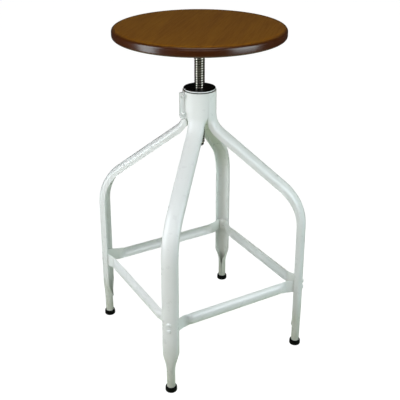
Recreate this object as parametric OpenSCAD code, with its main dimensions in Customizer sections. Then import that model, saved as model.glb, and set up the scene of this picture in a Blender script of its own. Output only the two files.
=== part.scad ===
// Adjustable swivel stool: a round wooden seat on a screw spindle, on four pressed channel legs.
// Millimetres, +Z up, origin on the floor under the spindle, legs on the diagonals, front at -Y.

/* [Seat] */
// Diameter of the wooden seat
seat_d = 350; // [300:1:380]
// Thickness of the wooden seat
seat_t = 19; // [17:0.5:24]
// Height of the seat's top above the floor, with the screw at the middle of its travel
seat_height = 728; // [724:1:740]
// Radius of the seat's rounded lower edge
seat_edge_r = 4.5; // [3:0.5:6]
// Radius of the seat's softer upper edge
seat_top_r = 8; // [6:0.5:9]
// Diameter of the steel plate under the seat
plate_d = 150; // [120:1:200]
// Thickness of the steel plate
plate_t = 3; // [2:0.5:4]

/* [Spindle] */
// Outside diameter of the spindle's thread
spindle_d = 22; // [20:0.5:24]
// Lead of the thread, one turn of the seat
pitch = 5; // [4:0.5:6]
// Depth of the thread
thread_depth = 1.6; // [1:0.1:2]
// Height of the spindle's lower end above the floor
spindle_tip_z = 476; // [470:1:480]
// Travel of the seat up, and the same again down
travel = 70; // [50:1:70]

/* [Collar] */
// Outside radius of the collar that the leg tops form
collar_r = 35.3; // [34.8:0.1:36]
// Height of the collar's top edge above the floor
collar_top_z = 598; // [596:1:600]
// Height at which the legs start to bend out of the collar
collar_low_z = 548; // [545:1:550]
// How far the ring on the nut tube stands above the collar
tube_proud = 4; // [3:0.5:5]
// Wall of the nut tube
tube_wall = 2.5; // [2:0.1:3]
// Thickness of the cap's disc
cap_t = 1.5; // [1:0.1:2]
// Reach of the two clamp ears from the spindle's axis
ear_reach = 46.8; // [45:0.2:49]

/* [Legs] */
// Thickness of the legs' steel sheet
leg_sheet = 1.8; // [1.5:0.1:2]
// Half the width of the leg's channel
channel_w = 16.9; // [16:0.1:18]
// Depth of the channel's rounded crown
crown_h = 9; // [8:0.1:10]
// Depth of the channel's straight side walls
wall_h = 8.3; // [7.5:0.1:9]
// Slope of the leg below horizontal
slope = 38; // [37:0.1:39]
// Radius of the bend out of the collar
shoulder_r = 41; // [38:1:44]
// Radius of the knee bend
knee_r = 123; // [118:1:126]
// Distance of the knee's outer face from the spindle's axis
knee_reach = 237.4; // [235:0.1:239]
// Outward lean of the leg below the knee, in degrees
lean = 0.8; // [0.5:0.1:1.2]
// Height at which the channel starts to close into a tube
taper_top_z = 97; // [94:1:104]
// Height at which the leg is a closed tube
taper_low_z = 53; // [50:1:62]
// Radius of the rolled tube at the leg's foot
foot_tube_r = 9; // [8.5:0.1:9.2]
// How far the channel's lips stand out behind the tube where it opens
lip_swell = 3; // [2:0.1:3.5]

/* [Stretchers] */
// Height of the stretchers' middle above the floor
rail_z = 163.2; // [162:0.2:165]
// Full height of a stretcher's half-round section
rail_h = 26.6; // [25.6:0.1:28]
// Full height of a stretcher's flat ends
rail_end_h = 29.7; // [29:0.1:31]
// Depth of a stretcher's half-round section
rail_depth = 10.4; // [9:0.1:11]
// Thickness of the stretchers' steel sheet
rail_sheet = 1.5; // [1.2:0.1:1.5]
// Height above the floor of the middle between the two rivets of a joint
rivet_mid_z = 165; // [163:0.2:166]
// Distance between the two rivets of a joint
rivet_gap = 15.4; // [14:0.1:16]
// Radius of a rivet's head
rivet_head_r = 4.6; // [4:0.1:5]

/* [Feet] */
// Diameter of a rubber foot
foot_d = 25.4; // [25:0.2:28]
// Height of a rubber foot
foot_h = 12; // [11:0.5:14]
// Rubber under the leg's end
foot_base = 4; // [3:0.5:5]

/* [Hidden] */

$fn = 64;
fit = 0.05;                // radial clearance of a running or close fit
gap = 0.1;                 // gap between faces that meet

paint = "#eceeec";
steel = "#4a4744";
zinc = "#a9adb0";
wood = "#6b3f1a";
rubber = "#1b1b1b";

// Heights down the spindle
seat_low_z = seat_height - seat_t;
plate_low_z = seat_low_z - plate_t;
boss_h = 22;
boss_r = 19;
boss_low_z = plate_low_z - boss_h;
buffer_r = 17;
ring_top_z = collar_top_z + tube_proud;
cap_top_z = ring_top_z + cap_t;
buffer_low_z = cap_top_z + travel + 0.5;
spindle_r = spindle_d / 2;

// The nut tube and what it holds
tube_r = collar_r - leg_sheet - 0.2;
tube_in_r = tube_r - tube_wall;
tube_low_z = collar_low_z;
tube_top_z = collar_top_z + 1.8;
cap_skirt = 10;
nut_top_z = ring_top_z - cap_skirt - 2;
nut_low_z = tube_low_z + 5;
nut_body_r = 19;
nut_flange_t = 5;

// Screws that hold the plate
screw_r = 2.2;
screw_len = 13;
screw_circle = plate_d / 2 - 12;
screw_count = 6;
screw_head_r = 4.2;
screw_head_h = 2.6;

// The clamp at the collar's left side
ear_split = 0.8;           // half the gap between the two ears
ear_face = ear_split + leg_sheet;           // an ear's outer face, from the middle of the split
ear_low_z = collar_low_z - 8.5;
ear_corner = 9.5;
washer_t = 1.2;
washer_r = 3.5;
bolt_r = 2;
bolt_head_r = 3.2;
bolt_head_h = 5;
bolt_socket_r = 1.8;
bolt_reach = ear_reach - 6.4;
bolt_heights = [collar_top_z - 7.5, collar_top_z - 45];

// Leg line: points [radius, height, tilt of the line from vertical] of the leg's outer face
bend = 90 - slope;
shoulder_end = [collar_r + shoulder_r * (1 - cos(bend)), collar_low_z - shoulder_r * sin(bend)];
knee_start_r = knee_reach - knee_r * (1 - cos(bend));
slope_run = (knee_start_r - shoulder_end[0]) / cos(slope);
knee_start_z = shoulder_end[1] - slope_run * sin(slope);
knee_mid_z = knee_start_z - knee_r * sin(bend);
knee_end = [knee_reach - knee_r * (1 - cos(lean)), knee_mid_z + knee_r * sin(lean)];
function lower_r(z) = knee_end[0] + (knee_end[1] - z) * tan(lean);
foot_r = lower_r(taper_top_z) - foot_tube_r;

function mix(a, b, t) = a + (b - a) * t;
function ease(t) = let(k = min(1, max(0, t))) k * k * (3 - 2 * k);

// Each station: [radius, height, tilt, share of collar shape, share of tube shape, share of swollen lips]
shape_run = 18;            // length below the collar over which its shape fades into the channel's
function shoulder_share(run) = 1 - ease(run / shape_run);
function leg_stations() = concat(
    [for (i = [0:2]) [collar_r, mix(collar_top_z, collar_low_z, i / 2), 0, 1, 0, 0]],
    [for (i = [1:8]) let(a = bend * i / 8)
        [collar_r + shoulder_r * (1 - cos(a)), collar_low_z - shoulder_r * sin(a), a,
         shoulder_share(shoulder_r * a * PI / 180), 0, 0]],
    [for (run = [12, 24, 36, slope_run * 0.6]) let(t = run / slope_run)
        [mix(shoulder_end[0], knee_start_r, t), mix(shoulder_end[1], knee_start_z, t), bend,
         shoulder_share(shoulder_r * bend * PI / 180 + run), 0, 0]],
    [for (i = [0:11]) let(a = mix(bend, lean, i / 11))
        [knee_reach - knee_r * (1 - cos(a)), knee_mid_z + knee_r * sin(a), a, 0, 0, 0]],
    [for (i = [0:7]) let(t = i / 7)
        [lower_r(taper_top_z), mix(taper_top_z, taper_low_z, t), 0, 0, ease(t), t * t]],
    [for (z = [taper_low_z - swell_end, foot_base + gap]) [lower_r(taper_top_z), z, 0, 0, 1, 0]]
);

// Channel section as [across, depth] for u from -1 to 1: rounded crown, then straight walls
crown_len = PI / 2 * sqrt((channel_w * channel_w + crown_h * crown_h) / 2);
channel_len = crown_len + wall_h;
function channel_pt(u) =
    let(run = abs(u) * channel_len, side = u < 0 ? -1 : 1, a = 90 * min(1, run / crown_len))
    [side * channel_w * sin(a), crown_h * (1 - cos(a)) + max(0, run - crown_len)];
function arc_pt(r, a) = [r * sin(a), r * (1 - cos(a))];
tube_close = 176;          // half the angle that the rolled tube turns through
lip_close = 160;           // the same angle where the lips stand out
swell_end = 4;             // height over which the swollen lips close
seam_gap = 0.25;           // degrees left open at a seam between two leg tops

// from, to: angles of the collar arc that this leg covers
function rolled_pt(u, swell) =
    arc_pt(foot_tube_r, mix(tube_close, lip_close, swell) * u) + [0, lip_swell * swell * pow(u, 4)];
function section_pt(u, from, to, collar_share, tube_share, swell) =
    mix(mix(channel_pt(u), arc_pt(collar_r, mix(from, to, (u + 1) / 2)), collar_share),
        rolled_pt(u, swell), tube_share);

steps = 18;
function outer_line(from, to, st) =
    [for (i = [0:steps]) section_pt(2 * i / steps - 1, from, to, st[3], st[4], st[5])];
// The same line moved inwards by a sheet's thickness
function inner_line(line, sheet) =
    [for (i = [0:len(line) - 1])
        let(d = line[min(i + 1, len(line) - 1)] - line[max(i - 1, 0)], n = [-d[1], d[0]] / norm(d))
        line[i] + n * sheet];
function reversed(line) = [for (i = [len(line) - 1:-1:0]) line[i]];
function sheet_ring(line, sheet) = concat(line, reversed(inner_line(line, sheet)));

// A closed skin over rings of equal length, its ends made of strips across the sheet
module skin(rings) {
    n = len(rings[0]);
    m = n / 2;
    last = (len(rings) - 1) * n;
    polyhedron(
        points = [for (r = rings) each r],
        faces = concat(
            [for (k = [0:len(rings) - 2]) for (i = [0:n - 1]) let(j = (i + 1) % n)
                each [[k * n + i, k * n + j, (k + 1) * n + j],
                      [k * n + i, (k + 1) * n + j, (k + 1) * n + i]]],
            [for (i = [0:m - 2])
                each [[i, n - 1 - i, n - 2 - i], [i, n - 2 - i, i + 1]]],
            [for (i = [0:m - 2])
                each [[last + i, last + i + 1, last + n - 2 - i],
                      [last + i, last + n - 2 - i, last + n - 1 - i]]]
        ),
        convexity = 8
    );
}

// One leg along +X; the collar arc runs from angle from to angle to
module leg_blank(from, to) {
    skin([for (st = leg_stations())
        [for (p = sheet_ring(outer_line(from, to, st), leg_sheet))
            [st[0] - p[1] * cos(st[2]), p[0], st[1] - p[1] * sin(st[2])]]]);
}

rivet_zs = [rivet_mid_z + rivet_gap / 2, rivet_mid_z - rivet_gap / 2];
rivet_r = 2.5;

module rivet_holes() {
    for (z = rivet_zs)
        translate([knee_reach - 20, 0, z]) rotate([0, 90, 0]) cylinder(r = rivet_r + fit, h = 40);
}

// An ear's sheet leaves the tube at ear_start degrees from the ear's own plane, where a bend
// of radius ear_bend_r brings it beside the split
ear_r = collar_r - leg_sheet / 2;
ear_bend_r = 2.6;
ear_start = asin((ear_bend_r + ear_split + leg_sheet / 2) / (ear_r + ear_bend_r));
ear_root = 3;              // degrees of the sheet's own arc at an ear's root
function ear_line() =
    let(c = (ear_r + ear_bend_r) * [-cos(ear_start), sin(ear_start)])
    concat(
        [for (i = [0:2]) let(a = ear_start + ear_root - i) ear_r * [-cos(a), sin(a)]],
        [for (i = [0:8]) let(a = mix(-ear_start, -90, i / 8)) c + ear_bend_r * [cos(a), sin(a)]],
        [[-ear_reach, c[1] - ear_bend_r]]);

// Flat strip of a given width along a line of points
module strip(line, width) {
    half = inner_line(line, width / 2);
    other = inner_line(line, -width / 2);
    polygon(concat(half, reversed(other)));
}

// Ear of the rear left leg; mirrored in Y for the front left leg
module ear() {
    difference() {
        intersection() {
            translate([0, 0, ear_low_z])
                linear_extrude(height = collar_top_z - ear_low_z) strip(ear_line(), leg_sheet);
            ear_outline();
        }
        bolt_holes();
    }
}

// Side view of an ear, its lower outer corner rounded
module ear_outline() {
    translate([0, 20, 0]) rotate([90, 0, 0]) linear_extrude(height = 40) union() {
        translate([-ear_reach, ear_low_z + ear_corner])
            square([ear_reach, collar_top_z - ear_low_z - ear_corner]);
        translate([-ear_reach + ear_corner, ear_low_z])
            square([ear_reach - ear_corner, ear_corner + 1]);
        translate([-ear_reach + ear_corner, ear_low_z + ear_corner]) circle(r = ear_corner);
    }
}

module bolt_holes() {
    for (z = bolt_heights)
        translate([-bolt_reach, 20, z]) rotate([90, 0, 0]) cylinder(r = bolt_r + 0.2, h = 40);
}

module leg(azimuth, from, to) {
    rotate([0, 0, azimuth]) difference() {
        leg_blank(from, to);
        rivet_holes();
    }
}

module leg_front_left() {
    color(paint) union() {
        leg(225, -45 + ear_start, 45 - seam_gap);
        mirror([0, 1, 0]) ear();
    }
}
module leg_front_right() {
    color(paint) leg(315, -45 + seam_gap, 45 - seam_gap);
}
module leg_rear_right() {
    color(paint) leg(45, -45 + seam_gap, 45 - seam_gap);
}
module leg_rear_left() {
    color(paint) union() {
        leg(135, -45 + seam_gap, 45 - ear_start);
        ear();
    }
}

module seat() {
    color(wood) difference() {
        translate([0, 0, seat_low_z]) rotate_extrude($fn = 128) seat_outline();
        for (i = [0:screw_count - 1]) rotate([0, 0, 360 * i / screw_count])
            translate([screw_circle, 0, seat_low_z - 1]) cylinder(r = screw_r + fit, h = screw_len + 1.2);
    }
}

// Half of the seat's section, with quarter-round edges
module seat_outline() {
    square([seat_d / 2 - seat_top_r, seat_t]);
    square([seat_d / 2 - seat_edge_r, seat_t / 2]);
    translate([0, seat_edge_r]) square([seat_d / 2, seat_t - seat_edge_r - seat_top_r]);
    translate([seat_d / 2 - seat_edge_r, seat_edge_r]) circle(r = seat_edge_r);
    translate([seat_d / 2 - seat_top_r, seat_t - seat_top_r]) circle(r = seat_top_r);
}

module seat_plate() {
    color(steel) translate([0, 0, plate_low_z]) difference() {
        cylinder(r = plate_d / 2, h = plate_t - gap / 2);
        translate([0, 0, -1]) cylinder(r = spindle_r + fit, h = plate_t + 2);
        for (i = [0:screw_count - 1]) rotate([0, 0, 360 * i / screw_count])
            translate([screw_circle, 0, -1]) cylinder(r = screw_r + fit, h = plate_t + 2);
    }
}

module plate_screws() {
    color(zinc) for (i = [0:screw_count - 1]) rotate([0, 0, 360 * i / screw_count])
        translate([screw_circle, 0, plate_low_z]) plate_screw();
}

module plate_screw() {
    cylinder(r = screw_r, h = plate_t + screw_len - 2);
    translate([0, 0, plate_t + screw_len - 2]) cylinder(r1 = screw_r, r2 = 0.4, h = 2, $fn = 32);
    difference() {
        intersection() {
            translate([0, 0, -screw_head_h]) cylinder(r = screw_head_r, h = screw_head_h - fit);
            sphere(r = screw_head_r + 0.1);
        }
        for (a = [0, 90]) rotate([0, 0, a])
            translate([-2.2, -0.45, -screw_head_h - 1]) cube([4.4, 0.9, 2.2]);
    }
    translate([0, 0, -1]) cylinder(r = screw_r, h = 2);
}

module spindle_boss() {
    color(steel) translate([0, 0, boss_low_z]) rotate_extrude() translate([spindle_r + fit, 0])
        polygon([[0, 0], [boss_r - spindle_r - 2, 0], [boss_r - spindle_r, 2],
                 [boss_r - spindle_r, boss_h - gap], [0, boss_h - gap]]);
}

// Threaded rod, its thread drawn as rings one lead apart
module spindle() {
    root = spindle_r - thread_depth;
    thread_base = 3.8;
    thread_flank = 0.7;
    thread_top_z = boss_low_z - 2;
    turns = floor((thread_top_z - spindle_tip_z - 4) / pitch);
    color(steel) rotate_extrude(convexity = 10) polygon(concat(
        [[0, spindle_tip_z], [root - 1.5, spindle_tip_z], [root, spindle_tip_z + 1.5]],
        [for (i = [0:turns - 1]) let(z = spindle_tip_z + 4 + i * pitch)
            each [[root, z], [spindle_r, z + thread_flank], [spindle_r, z + thread_base - thread_flank],
                  [root, z + thread_base]]],
        [[root, thread_top_z], [spindle_r, thread_top_z + 1.5], [spindle_r, seat_low_z - gap],
         [0, seat_low_z - gap]]));
}

module buffer_ring() {
    color(rubber) translate([0, 0, buffer_low_z]) difference() {
        cylinder(r = buffer_r, h = boss_low_z - buffer_low_z - gap);
        translate([0, 0, -1]) cylinder(r = spindle_r + fit, h = 40);
    }
}

module top_cap() {
    color(rubber) rotate_extrude() polygon([
        [spindle_r + 0.8, ring_top_z + gap], [spindle_r + 0.8, cap_top_z],
        [tube_r - 0.5, cap_top_z], [tube_r + 0.1, cap_top_z - 0.5], [tube_r + 0.1, ring_top_z + gap],
        [tube_in_r - fit, ring_top_z + gap], [tube_in_r - fit, ring_top_z - cap_skirt + 1],
        [tube_in_r - 0.6, ring_top_z - cap_skirt], [tube_in_r - 2, ring_top_z - cap_skirt],
        [tube_in_r - 2, ring_top_z + gap]]);
}

// Ring that stands on the nut tube's mouth, round the cap's skirt
module collar_ring() {
    color(paint) translate([0, 0, tube_top_z + gap]) difference() {
        cylinder(r = tube_r, h = ring_top_z - tube_top_z - gap);
        translate([0, 0, -1]) cylinder(r = tube_in_r, h = tube_proud + 2);
    }
}

module nut_tube() {
    color(steel) translate([0, 0, tube_low_z]) difference() {
        cylinder(r = tube_r, h = tube_top_z - tube_low_z);
        translate([0, 0, -1]) cylinder(r = tube_in_r, h = tube_top_z - tube_low_z + 2);
    }
}

// Long nut with a flange at each end, a close fit in the tube
module spindle_nut() {
    color(zinc) translate([0, 0, nut_low_z]) difference() {
        union() {
            cylinder(r = nut_body_r, h = nut_top_z - nut_low_z);
            for (z = [0, nut_top_z - nut_low_z - nut_flange_t])
                translate([0, 0, z]) cylinder(r = tube_in_r - fit, h = nut_flange_t);
        }
        translate([0, 0, -1]) cylinder(r = spindle_r + fit, h = nut_top_z - nut_low_z + 2);
    }
}

// Clamp bolts with a hexagon socket in the head, heads to the front
module clamp_bolts() {
    color(paint) for (z = bolt_heights)
        translate([-bolt_reach, -ear_face - washer_t - 2 * gap, z]) rotate([-90, 0, 0]) clamp_bolt();
}

module clamp_bolt() {
    length = 2 * ear_face + 2 * washer_t + 7;
    chamfer = 0.7;
    difference() {
        rotate_extrude() polygon([
            [0, -bolt_head_h], [bolt_head_r - chamfer, -bolt_head_h], [bolt_head_r, chamfer - bolt_head_h],
            [bolt_head_r, 0], [bolt_r, 0], [bolt_r, length], [0, length]]);
        translate([0, 0, -bolt_head_h - 1]) cylinder(r = bolt_socket_r, h = bolt_head_h / 2 + 1, $fn = 6);
    }
}

module clamp_washers() {
    color(paint) for (z = bolt_heights) for (side = [0, 1]) mirror([0, side, 0])
        translate([-bolt_reach, -ear_face - gap, z]) rotate([90, 0, 0]) difference() {
            cylinder(r = washer_r, h = washer_t);
            translate([0, 0, -1]) cylinder(r = bolt_r + 0.15, h = washer_t + 2);
        }
}

module clamp_nuts() {
    color(paint) for (z = bolt_heights)
        translate([-bolt_reach, ear_face + washer_t + 2 * gap, z]) rotate([-90, 0, 0]) difference() {
            cylinder(r = washer_r, h = 4.8, $fn = 6);
            translate([0, 0, -1]) cylinder(r = bolt_r + fit, h = 8);
        }
}

// Stretcher: a half-round rail whose flat ends turn out, enter the leg's channel and lie on its crown
joint_ridge = lower_r(rail_z);               // leg's outer face at the joint
mouth_r = joint_ridge - crown_h - wall_h;    // channel's open side
tab_turn = 22;                               // degrees that a flat end turns out
tab_side = channel_w - leg_sheet - 0.6;      // where a flat end passes the channel's wall
rail_y = 161;                                // plane of the flat sheet in the straight run
tab_reach = 7.6;                             // how far a flat end passes the leg's middle
crown_clear = 2.0;                           // space between the crown and the first flat end
tab_layers = [leg_sheet + crown_clear, leg_sheet + crown_clear + rail_sheet + gap];

// Along and out from the stretcher's middle, for a radius and a side step at the leg
function at_leg(r, side) = [(r + side) / sqrt(2), (r - side) / sqrt(2)];

// Points [along, out, heading, flatness] of one half, for a flat end at a depth below the crown
function half_rail(depth) =
    let(mouth = at_leg(mouth_r, -tab_side),
        dir = [cos(tab_turn), sin(tab_turn)],
        first = mouth - dir * (mouth[1] - rail_y) / sin(tab_turn),
        seat_r = joint_ridge - depth,
        second = mouth + dir * (seat_r - mouth_r) * sqrt(2) / (cos(tab_turn) + sin(tab_turn)),
        last_turn = tab_turn + 45,
        r1 = 10, r2 = 4,
        t1 = r1 * tan(tab_turn / 2), t2 = r2 * tan(last_turn / 2),
        c1 = [first[0] - t1, rail_y + r1],
        tangent = second - dir * t2,
        c2 = tangent + r2 * [sin(tab_turn), -cos(tab_turn)])
    concat(
        [for (i = [0:4]) [mix(0, first[0] - 22, i / 4), rail_y, 0, 0]],
        [for (i = [1:5]) [mix(first[0] - 22, first[0] - t1, i / 5), rail_y, 0, ease(i / 5.5)]],
        [for (i = [1:4]) let(a = tab_turn * i / 4)
            [c1[0] + r1 * sin(a), c1[1] - r1 * cos(a), a, 1]],
        [for (i = [0:6]) let(a = tab_turn - last_turn * i / 6)
            [c2[0] - r2 * sin(a), c2[1] + r2 * cos(a), a, 1]],
        [concat(at_leg(seat_r, tab_reach), [-45, 1])]);

lip_drop = 3.5;            // lips of the half-round section behind the flat sheet's plane
rail_steps = 14;
function rail_pt(u, flat) = [mix(rail_h / 2 * sin(90 * u), rail_end_h / 2 * u, flat),
    (1 - flat) * (lip_drop - rail_depth * cos(90 * u))];
function rail_ring(st, side) =
    let(line = [for (i = [0:rail_steps]) rail_pt(2 * i / rail_steps - 1, st[3])], a = st[2] * side)
    [for (p = sheet_ring(line, rail_sheet))
        [side * st[0] + p[1] * sin(a), -st[1] + p[1] * cos(a), rail_z + p[0]]];

// Stretcher on the -Y side; first and second are the depths of its ends at -X and at +X
module rail_blank(first, second) {
    left = half_rail(first);
    right = half_rail(second);
    skin(concat([for (i = [len(left) - 1:-1:1]) rail_ring(left[i], -1)],
                [for (st = right) rail_ring(st, 1)]));
}

module rail(azimuth, first, second) {
    rotate([0, 0, azimuth]) difference() {
        rail_blank(first, second);
        for (a = [225, 315]) rotate([0, 0, a]) rivet_holes();
    }
}

module stretcher_front() {
    color(paint) rail(0, tab_layers[0], tab_layers[1]);
}
module stretcher_right() {
    color(paint) rail(90, tab_layers[0], tab_layers[1]);
}
module stretcher_rear() {
    color(paint) rail(180, tab_layers[0], tab_layers[0]);
}
module stretcher_left() {
    color(paint) rail(270, tab_layers[1], tab_layers[1]);
}

// Two dome rivets of one joint, for a leg along +X
rivet_tail = tab_layers[1] + rail_sheet + gap;
module rivet_pair() {
    for (z = rivet_zs) translate([lower_r(z) + gap / 2, 0, z]) rotate([0, 90, 0]) {
        translate([0, 0, -lower_r(z) + joint_ridge - rivet_tail - 2])
            cylinder(r = rivet_r, h = rivet_tail + 2 + lower_r(z) - joint_ridge + 0.5);
        intersection() {
            cylinder(r = rivet_head_r, h = 3);
            translate([0, 0, -2.6]) sphere(r = 5.4);
        }
        translate([0, 0, -lower_r(z) + joint_ridge - rivet_tail - 2]) cylinder(r = 4, h = 1.9);
    }
}
module rivets_front_left() {
    color(paint) rotate([0, 0, 225]) rivet_pair();
}
module rivets_front_right() {
    color(paint) rotate([0, 0, 315]) rivet_pair();
}
module rivets_rear_right() {
    color(paint) rotate([0, 0, 45]) rivet_pair();
}
module rivets_rear_left() {
    color(paint) rotate([0, 0, 135]) rivet_pair();
}

// Rubber cup on the leg's rolled end
module foot(azimuth) {
    r = foot_d / 2;
    color(rubber) rotate([0, 0, azimuth]) translate([foot_r, 0, 0]) rotate_extrude() polygon(concat(
        [[0, 0], [r - 1.5, 0], [r - 0.4, 0.4], [r, 1.5]],
        [for (i = [0:6]) let(a = 15 * i) [r - 3 + 3 * cos(a), foot_h - 3 + 3 * sin(a)]],
        [[foot_tube_r + 2 * fit, foot_h], [foot_tube_r + 2 * fit, foot_base], [0, foot_base]]));
}
module foot_front_left() {
    foot(225);
}
module foot_front_right() {
    foot(315);
}
module foot_rear_right() {
    foot(45);
}
module foot_rear_left() {
    foot(135);
}

seat();
seat_plate();
plate_screws();
spindle_boss();
spindle();
buffer_ring();
top_cap();
collar_ring();
nut_tube();
spindle_nut();
leg_front_left();
leg_front_right();
leg_rear_right();
leg_rear_left();
clamp_bolts();
clamp_washers();
clamp_nuts();
stretcher_front();
stretcher_right();
stretcher_rear();
stretcher_left();
rivets_front_left();
rivets_front_right();
rivets_rear_right();
rivets_rear_left();
foot_front_left();
foot_front_right();
foot_rear_right();
foot_rear_left();
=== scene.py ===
import math

import bmesh
import bpy
import numpy as np
from mathutils import Matrix, Vector


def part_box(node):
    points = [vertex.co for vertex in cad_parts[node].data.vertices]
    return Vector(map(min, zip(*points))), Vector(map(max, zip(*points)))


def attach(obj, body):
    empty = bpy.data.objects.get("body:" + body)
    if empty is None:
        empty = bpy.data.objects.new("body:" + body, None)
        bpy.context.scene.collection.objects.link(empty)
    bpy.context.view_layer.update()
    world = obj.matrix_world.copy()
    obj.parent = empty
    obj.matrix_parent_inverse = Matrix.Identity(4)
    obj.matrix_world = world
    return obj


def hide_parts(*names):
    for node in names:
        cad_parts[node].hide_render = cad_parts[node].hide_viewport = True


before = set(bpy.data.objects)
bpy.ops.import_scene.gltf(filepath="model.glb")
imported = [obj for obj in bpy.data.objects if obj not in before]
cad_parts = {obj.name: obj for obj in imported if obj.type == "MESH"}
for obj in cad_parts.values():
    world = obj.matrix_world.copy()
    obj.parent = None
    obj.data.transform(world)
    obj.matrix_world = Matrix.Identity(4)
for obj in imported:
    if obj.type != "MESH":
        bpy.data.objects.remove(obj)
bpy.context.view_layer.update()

# Shapes are worked out in millimetres and made in metres.
MM = 0.001


def box_mm(node):
    low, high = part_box(node)
    return [c / MM for c in low], [c / MM for c in high]


# Sizes read from the CAD nodes
seat_low, seat_high = box_mm("seat")
SEAT_R = (seat_high[0] - seat_low[0]) / 2
SEAT_TOP_Z = seat_high[2]
SEAT_LOW_Z = seat_low[2]
COLLAR_TOP_Z = box_mm("leg_front_right")[1][2]
TUBE_LOW_Z = box_mm("nut_tube")[0][2]
TUBE_TOP_Z = box_mm("nut_tube")[1][2]
MOUTH_LOW_Z = box_mm("collar_ring")[0][2]
MOUTH_TOP_Z = box_mm("collar_ring")[1][2]
TUBE_R = box_mm("nut_tube")[1][0]
CAP_R = box_mm("top_cap")[1][0]
CAP_LOW_Z = box_mm("top_cap")[0][2]
CAP_TOP_Z = box_mm("top_cap")[1][2]
SPINDLE_R = box_mm("spindle")[1][0]
SPINDLE_TIP_Z = box_mm("spindle")[0][2]
BOSS_LOW_Z = box_mm("spindle_boss")[0][2]
BOSS_TOP_Z = box_mm("spindle_boss")[1][2]
BOSS_R = box_mm("spindle_boss")[1][0]
RING_LOW_Z = box_mm("buffer_ring")[0][2]
RING_TOP_Z = box_mm("buffer_ring")[1][2]
RING_R = box_mm("buffer_ring")[1][0]
foot_low, foot_high = box_mm("foot_rear_right")
FOOT_R = (foot_high[0] - foot_low[0]) / 2
FOOT_H = foot_high[2]
FOOT_REACH = math.hypot((foot_low[0] + foot_high[0]) / 2, (foot_low[1] + foot_high[1]) / 2)
RAIL_Z = (box_mm("stretcher_front")[0][2] + box_mm("stretcher_front")[1][2]) / 2
RAIL_END_H = box_mm("stretcher_front")[1][2] - box_mm("stretcher_front")[0][2]

# Sizes of the legs, as in the CAD model
COLLAR_R = 35.3
COLLAR_LOW_Z = 548
LEG_SHEET = 1.8
CHANNEL_W = 16.9
CROWN_H = 9
WALL_H = 8.3
SLOPE = 38
SHOULDER_R = 41
KNEE_R = 123
KNEE_REACH = 237.4
LEAN = 0.8
TAPER_TOP_Z = 97
TAPER_LOW_Z = 53
FOOT_TUBE_R = 9
FOOT_BASE = 4
TUBE_CLOSE = 176
LIP_CLOSE = 160
LIP_SWELL = 3
SWELL_END = 4
SEAM_GAP = 0.25
EAR_REACH = 46.8
EAR_SPLIT = 0.8
EAR_BEND_R = 2.6
EAR_LOW_Z = COLLAR_LOW_Z - 8.5
EAR_CORNER = 9.5
BOLT_REACH = EAR_REACH - 6.4
BOLT_HEIGHTS = (COLLAR_TOP_Z - 7.5, COLLAR_TOP_Z - 45)
GAP = 0.1

# Sizes of the stretchers and rivets
RAIL_H = 26.6
RAIL_DEPTH = 10.4
RAIL_SHEET = 1.5
RIVET_MID_Z = 165
RIVET_GAP = 15.4
RIVET_HEAD_R = 4.6
RIVET_RIM_H = 0.35
RIVET_DOME_H = 2.4
RIVET_SHANK_R = 2.5
RIVET_SHANK_LEN = 8.0
RIVET_TAIL_R = 3.9
RIVET_TAIL_RIM_H = 0.3
RIVET_TAIL_DOME_H = 1.5
TAB_TURN = 22
RAIL_Y = 161
TAB_REACH = 7.6
LIP_DROP = 3.5
TAB_DEPTHS = (3.8, 5.4)
TAB_BEND_R = 10
TAB_HOOK_R = 4
FLATTEN_RUN = 22

# Sizes of the clamp's screws, washers and nuts
BOLT_TAIL = 7
NUT_R = 3.5
NUT_BORE_R = 2.05
NUT_H = 4.8
WASHER_R = 3.5
WASHER_BORE_R = 2.2
WASHER_T = 1.2

# Lead and depth of the spindle's thread
PITCH = 5
THREAD_DEPTH = 1.6

# Where the finishes change: painted shade fades out up the legs; the rim is darker stain and painted shade
FLOOR_SHADE_LOW_Z = 20
FLOOR_SHADE_RUN = 120
RIM_W = 8
RIM_BLEND_W = 6
GRAIN_AZIMUTH = -46

LEG_AZIMUTHS = {"front_left": 225, "front_right": 315, "rear_right": 45, "rear_left": 135}


def mix(a, b, t):
    return a + (b - a) * t


def ease(t):
    k = min(1.0, max(0.0, t))
    return k * k * (3 - 2 * k)


# ---------------------------------------------------------------- materials

def srgb(r, g, b):
    """A colour given as 0 to 255 display values, in the renderer's linear values."""
    def one(c):
        c = c / 255
        return c / 12.92 if c <= 0.04045 else ((c + 0.055) / 1.055) ** 2.4
    return (one(r), one(g), one(b), 1.0)


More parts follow.
